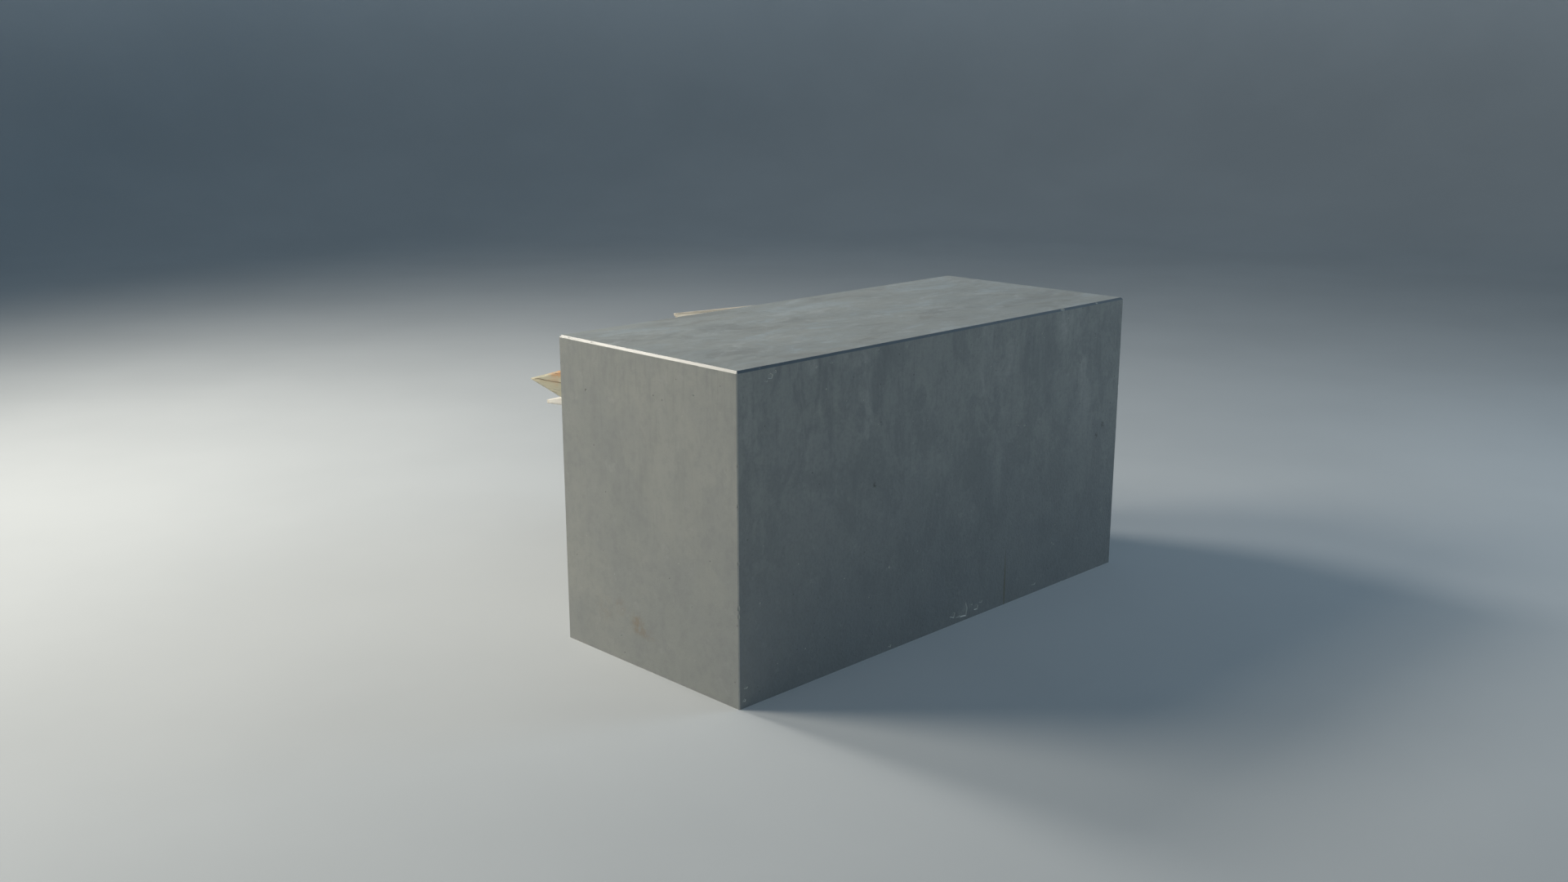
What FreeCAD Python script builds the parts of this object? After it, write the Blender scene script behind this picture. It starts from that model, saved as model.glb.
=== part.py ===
import FreeCAD, Part
import math
import os

# Vertical-faced concrete road barrier block with a row of sharpened timber
# stakes bolted to its rear face.
#
# Units: millimetres.  +Z up, +X along the block, +Y towards the rear, where
# the stakes point.  The origin is the centre of the block's underside, which
# is the face that rests on the road.

# ---------------------------------------------------------------- block
block_length = 1900.0          # along X
block_width = 810.0            # along Y
block_height = 1000.0          # along Z
top_chamfer = 7.0              # mould fillet along the four top edges
arris_chamfer = 3.0            # mould fillet down the four upright edges

# ---------------------------------------------------------------- reinforcement
concrete_cover = 50.0          # from any face to the outside of a stirrup
bar_dia = 16.0                 # straight bars along X
stirrup_dia = 10.0             # closed links round the straight bars
stirrup_bend = 30.0            # centre-line radius of a link's corners
cage_gap = 0.3                 # between a straight bar and the links it lies in

# ---------------------------------------------------------------- timber posts
post_width = 100.0             # along X
post_depth = 100.0             # along Y
post_length = 650.0
post_top_drop = 30.0           # top of a post below the top of the block
post_spacing = 565.0           # centre to centre
post_chamfer = 4.0             # planed edges

# ---------------------------------------------------------------- post fixings
post_bolt_dia = 16.0
post_bolt_drops = (120.0, 600.0)   # heights of the fixings, below the block's top
post_bolt_grip = 50.0          # length of bolt inside its socket
socket_outer_dia = 26.0
socket_length = 110.0
socket_bore_depth = 75.0
socket_foot_dia = 44.0
socket_foot_thickness = 8.0
socket_clearance = 0.3         # radial, bolt in socket bore
plate_washer_size = 60.0       # square
plate_washer_thickness = 5.0

# ---------------------------------------------------------------- stakes
stake_thickness = 25.0
stake_butt_gap = 10.0          # from the block's rear face to a stake's square end
bevel_depth = 6.0              # axe bevel of the sharpened edges, across the thickness
bevel_setback = 26.0           # and back along the stake

# Each stake: post index (-1, 0, 1), side of the post (-1 or 1), width, drop
# angle of its axis in degrees (positive points down), height of its axis above
# the bolts at the middle of the post, reach of its nose from the rear face,
# nose width, and the length of the upper and the lower cut.  A stake with no
# upper cut is sharpened from below only.
STAKES = {
    "stake_left_upper": dict(post=-1, side=-1, width=120.0, drop=2.1, rise=11.0,
                             reach=606.0, nose=4.0, upper_cut=221.0, lower_cut=221.0),
    "stake_left_lower": dict(post=-1, side=1, width=90.0, drop=10.0, rise=-13.0,
                             reach=689.0, nose=13.0, upper_cut=374.0, lower_cut=374.0),
    "stake_middle_upper": dict(post=0, side=1, width=110.0, drop=10.3, rise=7.0,
                               reach=626.0, nose=6.0, upper_cut=0.0, lower_cut=92.0),
    "stake_middle_lower": dict(post=0, side=-1, width=115.0, drop=14.0, rise=-6.0,
                               reach=700.0, nose=8.0, upper_cut=190.0, lower_cut=230.0),
    "stake_right_upper": dict(post=1, side=1, width=110.0, drop=-1.0, rise=2.0,
                              reach=640.0, nose=6.0, upper_cut=240.0, lower_cut=180.0),
    "stake_right_lower": dict(post=1, side=-1, width=100.0, drop=7.0, rise=-4.0,
                              reach=720.0, nose=10.0, upper_cut=260.0, lower_cut=210.0),
}

# Height of each post's pair of stake bolts, below the block's top.
stake_bolt_drops = {-1: 265.0, 0: 80.0, 1: 172.0}
stake_bolt_dia = 12.0
timber_hole_clearance = 0.5    # radial, bolt in a drilled timber hole
cup_head_dia = 30.0
cup_head_height = 7.0
round_washer_dia = 36.0
round_washer_thickness = 3.0
washer_face_gap = 4.0          # from a post's front or rear face to the edge of a washer
washer_clearance = 0.5         # radial, bolt in a washer
thread_clearance = 0.1         # radial, bolt in its nut
bolt_tail = 6.0                # thread that stands proud of a nut

# ---------------------------------------------------------------- derived places
rear_face = block_width / 2.0
post_mid_y = rear_face + post_depth / 2.0
post_rear_y = rear_face + post_depth
post_top_z = block_height - post_top_drop
post_bottom_z = post_top_z - post_length
POST_NAMES = {-1: "post_left", 0: "post_middle", 1: "post_right"}
post_bolt_heights = [block_height - drop for drop in post_bolt_drops]
stake_bolt_inset = round_washer_dia / 2.0 + washer_face_gap
stake_bolt_ys = [rear_face + stake_bolt_inset, post_rear_y - stake_bolt_inset]
stack_half = post_width / 2.0 + stake_thickness

X_AXIS = FreeCAD.Vector(1, 0, 0)
Y_AXIS = FreeCAD.Vector(0, 1, 0)
Z_AXIS = FreeCAD.Vector(0, 0, 1)


def vec(x, y, z):
    return FreeCAD.Vector(x, y, z)


def box(x0, x1, y0, y1, z0, z1):
    return Part.makeBox(x1 - x0, y1 - y0, z1 - z0, vec(x0, y0, z0))


def rod(dia, length, start, axis):
    return Part.makeCylinder(dia / 2.0, length, start, axis)


def post_x(index):
    return index * post_spacing


# ================================================================ reinforcement
cage_half_y = block_width / 2.0 - concrete_cover - stirrup_dia / 2.0
cage_low_z = concrete_cover + stirrup_dia / 2.0
cage_high_z = block_height - concrete_cover - stirrup_dia / 2.0
bar_inset = (stirrup_dia + bar_dia) / 2.0 + cage_gap
bar_end_x = block_length / 2.0 - concrete_cover


def corner_bar_places():
    """A bar lies in each corner of the links, against both of its legs."""
    # The corner of a link is round, so the bar moves inwards along the diagonal
    # until it only touches the bend.
    bend_inset = stirrup_bend - (stirrup_bend - bar_inset) / math.sqrt(2.0)
    inset = max(bar_inset, bend_inset)
    return [(side * (cage_half_y - inset), z)
            for side in (-1, 1)
            for z in (cage_low_z + inset, cage_high_z - inset)]


def side_bar_places():
    """A bar runs along each long side, midway between the two rows of sockets."""
    middle = sum(post_bolt_heights) / len(post_bolt_heights)
    return [(side * (cage_half_y - bar_inset), middle) for side in (-1, 1)]


def straight_bars(places):
    bars = [rod(bar_dia, 2 * bar_end_x, vec(-bar_end_x, y, z), X_AXIS) for y, z in places]
    return Part.makeCompound(bars)


def link(x):
    """One closed link round the straight bars, in the plane across the block at x."""
    r = stirrup_bend
    low, high, half = cage_low_z, cage_high_z, cage_half_y
    d = r * (1.0 - math.sqrt(0.5))
    edges = [
        Part.LineSegment(vec(x, -half + r, low), vec(x, half - r, low)),
        Part.Arc(vec(x, half - r, low), vec(x, half - d, low + d), vec(x, half, low + r)),
        Part.LineSegment(vec(x, half, low + r), vec(x, half, high - r)),
        Part.Arc(vec(x, half, high - r), vec(x, half - d, high - d), vec(x, half - r, high)),
        Part.LineSegment(vec(x, half - r, high), vec(x, -half + r, high)),
        Part.Arc(vec(x, -half + r, high), vec(x, -half + d, high - d), vec(x, -half, high - r)),
        Part.LineSegment(vec(x, -half, high - r), vec(x, -half, low + r)),
        Part.Arc(vec(x, -half, low + r), vec(x, -half + d, low + d), vec(x, -half + r, low)),
    ]
    path = Part.Wire([edge.toShape() for edge in edges])
    circle = Part.Circle(vec(x, -half + r, low), Y_AXIS, stirrup_dia / 2.0)
    profile = Part.Wire([circle.toShape()])
    return path.makePipeShell([profile], True, False)


def link_places():
    """Links stand at the quarter points between posts, clear of every socket."""
    last = bar_end_x - stirrup_dia
    step = post_spacing / 2.0
    places = [last]
    x = step / 2.0
    while x < last - 3 * stirrup_dia:
        places.append(x)
        x += step
    return sorted([-p for p in places] + places)


def links():
    return Part.makeCompound([link(x) for x in link_places()])


# ================================================================ cast-in sockets
def socket_blank(x, z):
    """Outer form of one socket, which also shapes the hole it is cast into."""
    mouth = vec(x, rear_face, z)
    foot_at = vec(x, rear_face - socket_length, z)
    tube = rod(socket_outer_dia, socket_length, mouth, -Y_AXIS)
    foot = rod(socket_foot_dia, socket_foot_thickness, foot_at, Y_AXIS)
    return tube.fuse(foot).removeSplitter()


def socket_places():
    return [(post_x(i), z) for i in POST_NAMES for z in post_bolt_heights]


def cast_in_sockets():
    bore_dia = post_bolt_dia + 2 * socket_clearance
    sockets = []
    for x, z in socket_places():
        bore = rod(bore_dia, socket_bore_depth, vec(x, rear_face, z), -Y_AXIS)
        sockets.append(socket_blank(x, z).cut(bore))
    return Part.makeCompound(sockets)


# ================================================================ concrete block
def plan_outline(inset, z):
    """The block's plan at height z, drawn in by inset, with its corners cut off."""
    a = block_length / 2.0 - inset
    b = block_width / 2.0 - inset
    c = arris_chamfer
    corners = [(a - c, -b), (a, -b + c), (a, b - c), (a - c, b),
               (-a + c, b), (-a, b - c), (-a, -b + c), (-a + c, -b)]
    points = [vec(x, y, z) for x, y in corners]
    return Part.makePolygon(points + points[:1])


def concrete_block():
    shoulder_z = block_height - top_chamfer
    body = Part.Face(plan_outline(0.0, 0.0)).extrude(vec(0, 0, shoulder_z))
    crown = Part.makeLoft([plan_outline(0.0, shoulder_z), plan_outline(top_chamfer, block_height)],
                          True, True)
    block = body.fuse(crown).removeSplitter()
    for x in link_places():
        block = block.cut(link(x))
    for y, z in corner_bar_places() + side_bar_places():
        block = block.cut(rod(bar_dia, 2 * bar_end_x, vec(-bar_end_x, y, z), X_AXIS))
    for x, z in socket_places():
        block = block.cut(socket_blank(x, z))
    return block


# ================================================================ posts
def stake_bolt_height(index):
    return block_height - stake_bolt_drops[index]


def timber_post(index):
    x = post_x(index)
    post = box(x - post_width / 2.0, x + post_width / 2.0,
               rear_face, post_rear_y, post_bottom_z, post_top_z)
    uprights = [edge for edge in post.Edges
                if abs(edge.Vertexes[0].Point.z - edge.Vertexes[1].Point.z) > 1.0]
    post = post.makeChamfer(post_chamfer, uprights)
    for z in post_bolt_heights:
        hole_dia = post_bolt_dia + 2 * timber_hole_clearance
        post = post.cut(rod(hole_dia, post_depth, vec(x, rear_face, z), Y_AXIS))
    for y in stake_bolt_ys:
        hole_dia = stake_bolt_dia + 2 * timber_hole_clearance
        start = vec(x - post_width / 2.0, y, stake_bolt_height(index))
        post = post.cut(rod(hole_dia, post_width, start, X_AXIS))
    return post


# ================================================================ stakes
def stake_outline(s, setback):
    """Corners of a stake in the YZ plane, round from the lower butt corner.

    Distances run along the stake's own axis from the middle of its post.  The
    sharpened end is drawn back along that axis by setback."""
    angle = math.radians(s["drop"])
    along = (math.cos(angle), -math.sin(angle))
    up = (math.sin(angle), math.cos(angle))
    axis_z = stake_bolt_height(s["post"]) + s["rise"]
    half = s["width"] / 2.0
    nose_half = s["nose"] / 2.0
    nose_mid = 0.0
    if s["upper_cut"] == 0.0:
        nose_mid = half - nose_half
    nose_y = rear_face + s["reach"]
    tip = (nose_y - post_mid_y - nose_mid * up[0]) / along[0] - setback

    def point(distance, offset):
        return (post_mid_y + distance * along[0] + offset * up[0],
                axis_z + distance * along[1] + offset * up[1])

    def butt(offset):
        butt_y = rear_face + stake_butt_gap
        return point((butt_y - post_mid_y - offset * up[0]) / along[0], offset)

    corners = [butt(-half), point(tip - s["lower_cut"], -half), point(tip, nose_mid - nose_half)]
    corners.append(point(tip, nose_mid + nose_half))
    if s["upper_cut"] > 0.0:
        corners.append(point(tip - s["upper_cut"], half))
    corners.append(butt(half))
    return corners


def stake_inner_x(s):
    """The stake's face that lies against the side of its post."""
    return post_x(s["post"]) + s["side"] * post_width / 2.0


def stake_section(s, x, setback):
    points = [vec(x, y, z) for y, z in stake_outline(s, setback)]
    return Part.makePolygon(points + points[:1])


def stake(s):
    """A sawn board whose sharpened end is bevelled on both of its flat sides."""
    x0 = min(stake_inner_x(s), stake_inner_x(s) + s["side"] * stake_thickness)
    x1 = x0 + stake_thickness
    core_width = stake_thickness - 2 * bevel_depth
    core = Part.Face(stake_section(s, x0 + bevel_depth, 0.0)).extrude(vec(core_width, 0, 0))
    cheeks = [
        Part.makeLoft([stake_section(s, x0, bevel_setback),
                       stake_section(s, x0 + bevel_depth, 0.0)], True, True),
        Part.makeLoft([stake_section(s, x1 - bevel_depth, 0.0),
                       stake_section(s, x1, bevel_setback)], True, True),
    ]
    board = core.multiFuse(cheeks).removeSplitter()
    for y in stake_bolt_ys:
        hole_dia = stake_bolt_dia + 2 * timber_hole_clearance
        start = vec(x0, y, stake_bolt_height(s["post"]))
        board = board.cut(rod(hole_dia, stake_thickness, start, X_AXIS))
    return board


# ================================================================ fasteners
def hexagon(across_flats, height, centre, axis):
    """Hexagonal prism from centre along axis, flats up and down."""
    radius = across_flats / math.sqrt(3.0)
    side = axis.cross(Z_AXIS)
    points = []
    for k in range(6):
        turn = math.radians(60.0 * k)
        points.append(centre + side * (radius * math.cos(turn)) + Z_AXIS * (radius * math.sin(turn)))
    return Part.Face(Part.makePolygon(points + points[:1])).extrude(axis * height)


def post_bolts():
    """Hexagon bolts from behind the posts into the cast-in sockets."""
    bolts = []
    head_y = post_rear_y + plate_washer_thickness
    for x, z in socket_places():
        head = hexagon(1.5 * post_bolt_dia, 0.65 * post_bolt_dia, vec(x, head_y, z), Y_AXIS)
        length = head_y - rear_face + post_bolt_grip
        shank = rod(post_bolt_dia, length, vec(x, head_y, z), -Y_AXIS)
        bolts.append(head.fuse(shank).removeSplitter())
    return Part.makeCompound(bolts)


def plate_washers():
    half = plate_washer_size / 2.0
    washers = []
    for x, z in socket_places():
        plate = box(x - half, x + half, post_rear_y, post_rear_y + plate_washer_thickness,
                    z - half, z + half)
        hole = rod(post_bolt_dia + 2 * washer_clearance, plate_washer_thickness,
                   vec(x, post_rear_y, z), Y_AXIS)
        washers.append(plate.cut(hole))
    return Part.makeCompound(washers)


nut_height = 0.9 * stake_bolt_dia
nut_across_flats = 1.5 * stake_bolt_dia


def stake_bolt_places():
    return [(post_x(i), y, stake_bolt_height(i)) for i in POST_NAMES for y in stake_bolt_ys]


def cup_head_bolt(x, y, z, length):
    """A bolt along +X, turned from its half section; its low domed head ends at x."""
    head_r = cup_head_dia / 2.0
    shank_r = stake_bolt_dia / 2.0
    dome_r = (head_r ** 2 + cup_head_height ** 2) / (2.0 * cup_head_height)
    half_angle = math.asin(head_r / dome_r) / 2.0
    crown = vec(x - cup_head_height, y, z)
    shoulder = vec(x - cup_head_height + dome_r * (1.0 - math.cos(half_angle)),
                   y + dome_r * math.sin(half_angle), z)
    rim = vec(x, y + head_r, z)
    under = vec(x, y + shank_r, z)
    tail = vec(x + length, y + shank_r, z)
    end = vec(x + length, y, z)
    edges = [Part.Arc(crown, shoulder, rim).toShape()]
    corners = [rim, under, tail, end, crown]
    edges += [Part.makeLine(p, q) for p, q in zip(corners, corners[1:])]
    return Part.Face(Part.Wire(edges)).revolve(vec(x, y, z), X_AXIS, 360.0)


def stake_bolts():
    """Cup-head bolts along X through both stakes of a post and the post itself."""
    length = 2 * stack_half + round_washer_thickness + nut_height + bolt_tail
    return Part.makeCompound([cup_head_bolt(x - stack_half, y, z, length)
                              for x, y, z in stake_bolt_places()])


def round_washers():
    washers = []
    for x, y, z in stake_bolt_places():
        start = vec(x + stack_half, y, z)
        disc = rod(round_washer_dia, round_washer_thickness, start, X_AXIS)
        hole = rod(stake_bolt_dia + 2 * washer_clearance, round_washer_thickness, start, X_AXIS)
        washers.append(disc.cut(hole))
    return Part.makeCompound(washers)


def stake_nuts():
    nuts = []
    for x, y, z in stake_bolt_places():
        start = vec(x + stack_half + round_washer_thickness, y, z)
        body = hexagon(nut_across_flats, nut_height, start, X_AXIS)
        hole = rod(stake_bolt_dia + 2 * thread_clearance, nut_height, start, X_AXIS)
        nuts.append(body.cut(hole))
    return Part.makeCompound(nuts)


# ================================================================ export
nodes = {
    "concrete_block": concrete_block(),
    "corner_bars": straight_bars(corner_bar_places()),
    "side_bars": straight_bars(side_bar_places()),
    "stirrups": links(),
    "cast_in_sockets": cast_in_sockets(),
    "post_bolts": post_bolts(),
    "plate_washers": plate_washers(),
    "stake_bolts": stake_bolts(),
    "stake_washers": round_washers(),
    "stake_nuts": stake_nuts(),
}
for index, name in POST_NAMES.items():
    nodes[name] = timber_post(index)
for name, values in STAKES.items():
    nodes[name] = stake(values)

os.makedirs("parts", exist_ok=True)
for name, shape in nodes.items():
    for solid in shape.Solids:
        if not (solid.isValid() and solid.isClosed() and solid.Volume > 0.0):
            raise ValueError("bad solid in " + name)
    shape.exportStep("parts/" + name + ".step")
    print(name, len(shape.Solids), round(shape.Volume / 1.0e6, 3), "litres")
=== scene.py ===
import math
import random

import bmesh
import bpy
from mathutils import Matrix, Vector, noise
from mathutils.bvhtree import BVHTree


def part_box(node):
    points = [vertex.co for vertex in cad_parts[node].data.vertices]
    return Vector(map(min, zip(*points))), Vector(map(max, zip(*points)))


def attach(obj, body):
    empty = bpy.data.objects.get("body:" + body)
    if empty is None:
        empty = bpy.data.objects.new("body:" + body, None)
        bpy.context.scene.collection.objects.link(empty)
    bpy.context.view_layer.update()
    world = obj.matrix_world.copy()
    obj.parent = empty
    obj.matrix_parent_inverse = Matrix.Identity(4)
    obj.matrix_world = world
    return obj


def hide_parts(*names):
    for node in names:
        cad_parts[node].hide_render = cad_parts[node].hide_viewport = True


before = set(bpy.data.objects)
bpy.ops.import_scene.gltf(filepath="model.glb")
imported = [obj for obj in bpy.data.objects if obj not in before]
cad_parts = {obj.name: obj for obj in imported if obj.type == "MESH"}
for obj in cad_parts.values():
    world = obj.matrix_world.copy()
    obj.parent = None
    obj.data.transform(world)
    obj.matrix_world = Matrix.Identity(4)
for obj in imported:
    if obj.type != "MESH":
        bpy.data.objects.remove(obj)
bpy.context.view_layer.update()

# ---------------------------------------------------------------- sizes, in metres
TOP_CHAMFER = 0.007          # along the block's top edges
ARRIS_CHAMFER = 0.003        # down its upright edges
GRID = 0.095                 # cell size of the block's plain faces
EDGE_MARGIN = 0.02           # random chips stay this far from the ends of an edge
STAIN_REACH = 0.05           # how far a stain reaches into the block
RING_WIDTH = 0.0062          # one growth ring of the timber
STEP_ALONG = 0.012           # timber faces are cut this fine along the grain,
STEP_ACROSS = 0.0024         # across the piece,
STEP_DEEP = 0.0030           # and through its thickness
SKIN_LOSS = 0.00030          # how far sawing and weather draw a timber face in, on average
SPLIT_DEPTH = 0.0011         # a drying split in the timber
EDGE_RUB = 0.0010            # how far the timber's edges are rubbed back
SAME_POINT = 1e-6            # points closer than this are one point

SMOOTH_BELOW = math.radians(32)   # edges flatter than this are shaded smooth
UP = Vector((0, 0, 1))
POSTS = ("post_left", "post_middle", "post_right")

block_low, block_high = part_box("concrete_block")
LEFT, RIGHT = block_low.x, block_high.x
FRONT, REAR = block_low.y, block_high.y
TOP = block_high.z


# ================================================================ small helpers
def link_object(name, data):
    obj = bpy.data.objects.new(name, data)
    bpy.context.scene.collection.objects.link(obj)
    return obj


def mesh_from(bm, name):
    mesh = bpy.data.meshes.new(name)
    bm.to_mesh(mesh)
    bm.free()
    return mesh


def smooth_shading(mesh):
    mesh.shade_smooth()
    mesh.set_sharp_from_angle(angle=SMOOTH_BELOW)


def finish_piece(obj, node, material):
    """Puts a piece in the place of its CAD node."""
    obj.data.materials.clear()
    obj.data.materials.append(material)
    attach(obj, "root")
    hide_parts(node)


# ================================================================ node building
class Nodes:
    """Short names for the shader nodes that the materials are made of."""

    def __init__(self, name):
        self.material = bpy.data.materials.new(name)
        self.material.use_nodes = True
        self.tree = self.material.node_tree
        self.tree.nodes.clear()
        self.output = self.tree.nodes.new("ShaderNodeOutputMaterial")
        self.shader = self.tree.nodes.new("ShaderNodeBsdfPrincipled")
        self.wire(self.shader.outputs["BSDF"], self.output.inputs["Surface"])

    def wire(self, source, target):
        self.tree.links.new(source, target)

    def put(self, value, target):
        if isinstance(value, bpy.types.NodeSocket):
            self.wire(value, target)
        else:
            target.default_value = value

    def place(self):
        return self.tree.nodes.new("ShaderNodeTexCoord").outputs["Object"]

    def normal(self):
        return self.tree.nodes.new("ShaderNodeNewGeometry").outputs["Normal"]

    def attribute(self, name, output="Fac"):
        node = self.tree.nodes.new("ShaderNodeAttribute")
        node.attribute_name = name
        return node.outputs[output]

    def stretch(self, vector, scale, shift=(0, 0, 0)):
        node = self.tree.nodes.new("ShaderNodeMapping")
        self.wire(vector, node.inputs["Vector"])
        node.inputs["Scale"].default_value = scale
        node.inputs["Location"].default_value = shift
        return node.outputs["Vector"]

    def split(self, vector):
        node = self.tree.nodes.new("ShaderNodeSeparateXYZ")
        self.wire(vector, node.inputs["Vector"])
        return node.outputs["X"], node.outputs["Y"], node.outputs["Z"]

    def length(self, vector):
        node = self.tree.nodes.new("ShaderNodeVectorMath")
        node.operation = "LENGTH"
        self.wire(vector, node.inputs[0])
        return node.outputs["Value"]

    def noise(self, vector, scale, detail=4.0, rough=0.55, distortion=0.0):
        node = self.tree.nodes.new("ShaderNodeTexNoise")
        self.wire(vector, node.inputs["Vector"])
        node.inputs["Scale"].default_value = scale
        node.inputs["Detail"].default_value = detail
        node.inputs["Roughness"].default_value = rough
        node.inputs["Distortion"].default_value = distortion
        return node.outputs["Fac"]

    def cells(self, vector, scale):
        """Distance to the nearest of some scattered points."""
        node = self.tree.nodes.new("ShaderNodeTexVoronoi")
        self.wire(vector, node.inputs["Vector"])
        node.inputs["Scale"].default_value = scale
        return node.outputs["Distance"]

    def ramp(self, value, low, high, start=0.0, end=1.0, smooth=True):
        """From start to end as the value goes from low to high, and level beyond."""
        node = self.tree.nodes.new("ShaderNodeMapRange")
        node.interpolation_type = "SMOOTHSTEP" if smooth else "LINEAR"
        self.wire(value, node.inputs["Value"])
        node.inputs["From Min"].default_value = low
        node.inputs["From Max"].default_value = high
        node.inputs["To Min"].default_value = start
        node.inputs["To Max"].default_value = end
        return node.outputs["Result"]

    def math(self, kind, a, b=0.0):
        node = self.tree.nodes.new("ShaderNodeMath")
        node.operation = kind
        self.put(a, node.inputs[0])
        self.put(b, node.inputs[1])
        return node.outputs["Value"]

    def times(self, first, *others):
        product = first
        for other in others:
            product = self.math("MULTIPLY", product, other)
        return product

    def mix(self, factor, a, b):
        node = self.tree.nodes.new("ShaderNodeMix")
        node.data_type = "RGBA"
        self.put(factor, node.inputs["Factor"])
        for value, socket in ((a, node.inputs["A"]), (b, node.inputs["B"])):
            if isinstance(value, tuple):
                value = (*value, 1.0)
            self.put(value, socket)
        return node.outputs["Result"]

    def layer(self, colour, mask, strength, paint):
        """Paints over a colour where the mask is 1, as strongly as given."""
        return self.mix(self.times(mask, strength), colour, paint)

    def bump(self, height, distance, strength=1.0, base=None):
        node = self.tree.nodes.new("ShaderNodeBump")
        node.inputs["Distance"].default_value = distance
        node.inputs["Strength"].default_value = strength
        self.wire(height, node.inputs["Height"])
        if base is not None:
            self.wire(base, node.inputs["Normal"])
        return node.outputs["Normal"]

    def spot(self, place, centre, radii):
        """1 at a place on the object, fading to 0 at an ellipsoid round it."""
        inverse = tuple(1.0 / r for r in radii)
        shift = tuple(-c / r for c, r in zip(centre, radii))
        return self.ramp(self.length(self.stretch(place, inverse, shift)), 1.0, 0.25)


# ================================================================ concrete, its look
class ConcreteNodes(Nodes):
    """Nodes, with the places, masks and textures that the concrete's layers share."""

    def __init__(self):
        super().__init__("cast_concrete")
        self.at = self.place()
        self.x, _, self.z = self.split(self.at)
        _, self.ny, nz = self.split(self.normal())
        self.upright = self.ramp(self.math("ABSOLUTE", nz), 0.6, 0.3)
        self.level = self.ramp(nz, 0.85, 0.97)
        self.long_side = self.ramp(self.math("ABSOLUTE", self.ny), 0.6, 0.95)
        self.wear_and_highlight = self.attribute("wear_and_highlight")
        self.polished = self.attribute("polished")
        self.unpolished = self.ramp(self.polished, 0.0, 1.0, 1.0, 0.0)
        narrow = self.stretch(self.at, (70, 70, 5.5), (1.4, 5.2, 2.8))
        self.fine_runs = self.noise(narrow, 1.0, 5.0, 0.6)
        cloudy = self.stretch(self.at, (2.3, 4.6, 3.0), (4.4, 1.2, 0.8))
        self.wisps = self.noise(cloudy, 1.7, 10.0, 0.70, 0.8)
        # Wisps on the level top where a painted sky reflection goes; they are also glossier.
        self.painted_sheen_wisps = self.times(self.ramp(self.wisps, 0.50, 0.63), self.level)
        self.sand = self.noise(self.at, 420.0, 2.0, 0.6)
        self.peel = self.noise(self.at, 105.0, 3.0, 0.55)
        bubbles = self.cells(self.stretch(self.at, (1, 1, 1), (0.7, 0.2, 0.9)), 16.0)
        self.pinholes = self.times(self.ramp(bubbles, 0.055, 0.030), self.upright)


def cast_grey(n):
    """Broad clouds of warmer and cooler grey."""
    clouds = n.noise(n.at, 1.7, 5.0, 0.6, 0.4)
    patches = n.noise(n.stretch(n.at, (1, 1, 1), (7.3, 1.9, 4.1)), 6.5, 7.0, 0.62, 0.6)
    colour = n.mix(n.ramp(clouds, 0.35, 0.66), (0.345, 0.356, 0.336), (0.388, 0.392, 0.362))
    return n.mix(n.ramp(patches, 0.36, 0.70, 0.0, 0.55), colour, (0.315, 0.325, 0.318))


def water_runs(n, colour):
    """Water runs straight down the upright faces, most of it near the top edge."""
    runs = n.noise(n.stretch(n.at, (14, 14, 3.6), (3.1, 8.7, 0.4)), 1.0, 6.0, 0.68, 0.35)
    from_top = n.ramp(n.z, TOP * 0.35, TOP, 0.25, 1.0, smooth=False)
    from_top = n.times(from_top, n.ramp(n.long_side, 0.0, 1.0, 1.0, 1.9))
    wide = n.times(n.ramp(runs, 0.47, 0.72), from_top, n.upright)
    colour = n.layer(colour, wide, 0.42, (0.230, 0.242, 0.238))
    fine = n.times(n.ramp(n.fine_runs, 0.52, 0.74), from_top, n.upright)
    return n.layer(colour, fine, 0.26, (0.225, 0.235, 0.232))


def trowelled_top(n, colour):
    """The trowelled top is cloudier, in wisps that follow its length; its bluish tint and its
    pale bluish wisps and streaks are painted sky reflection.
    """
    streaks = n.noise(n.stretch(n.at, (7, 15, 3), (2.4, 3.2, 1.8)), 1.0, 9.0, 0.72, 0.7)
    dark_wisps = n.times(n.ramp(n.wisps, 0.48, 0.36), n.level)
    # Streaks on the level top where a painted sky reflection goes.
    painted_sheen_streaks = n.times(n.ramp(streaks, 0.53, 0.66), n.level)
    # Painted reflection: the level top is tinted bluish, as if it reflected the sky.
    colour = n.layer(colour, n.level, 0.55, (0.352, 0.392, 0.408))
    # Painted reflection of the sky, in pale bluish wisps and then in pale streaks.
    colour = n.layer(colour, n.painted_sheen_wisps, 0.62, (0.425, 0.480, 0.510))
    colour = n.layer(colour, dark_wisps, 0.62, (0.268, 0.276, 0.272))
    return n.layer(colour, painted_sheen_streaks, 0.55, (0.480, 0.515, 0.525))


def long_side_tones(n, colour):
    """The long sides have dry pale bands between the runs, painted shade that makes them darker
    and bluer towards the foot, and blots.
    """
    dry = n.noise(n.stretch(n.at, (10, 10, 3.4), (6.1, 2.7, 3.4)), 1.0, 6.0, 0.66, 0.4)
    high_up = n.ramp(n.z, TOP * 0.25, TOP * 0.9, 0.15, 1.0)
    dry_bands = n.times(n.ramp(dry, 0.50, 0.70), n.long_side, n.upright, high_up)
    colour = n.layer(colour, dry_bands, 0.85, (0.450, 0.450, 0.425))
    # Painted shade: the long sides are darker and bluer towards the foot.
    low_down = n.times(n.ramp(n.z, TOP * 0.80, TOP * 0.05), n.long_side)
    colour = n.layer(colour, low_down, 0.60, (0.198, 0.220, 0.236))
    blots = n.noise(n.stretch(n.at, (8.5, 8.5, 5.0), (2.6, 4.7, 9.4)), 1.0, 7.0, 0.7, 0.5)
    blots = n.times(n.ramp(blots, 0.53, 0.41), n.long_side)
    return n.layer(colour, blots, 0.46, (0.225, 0.240, 0.238))


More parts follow.
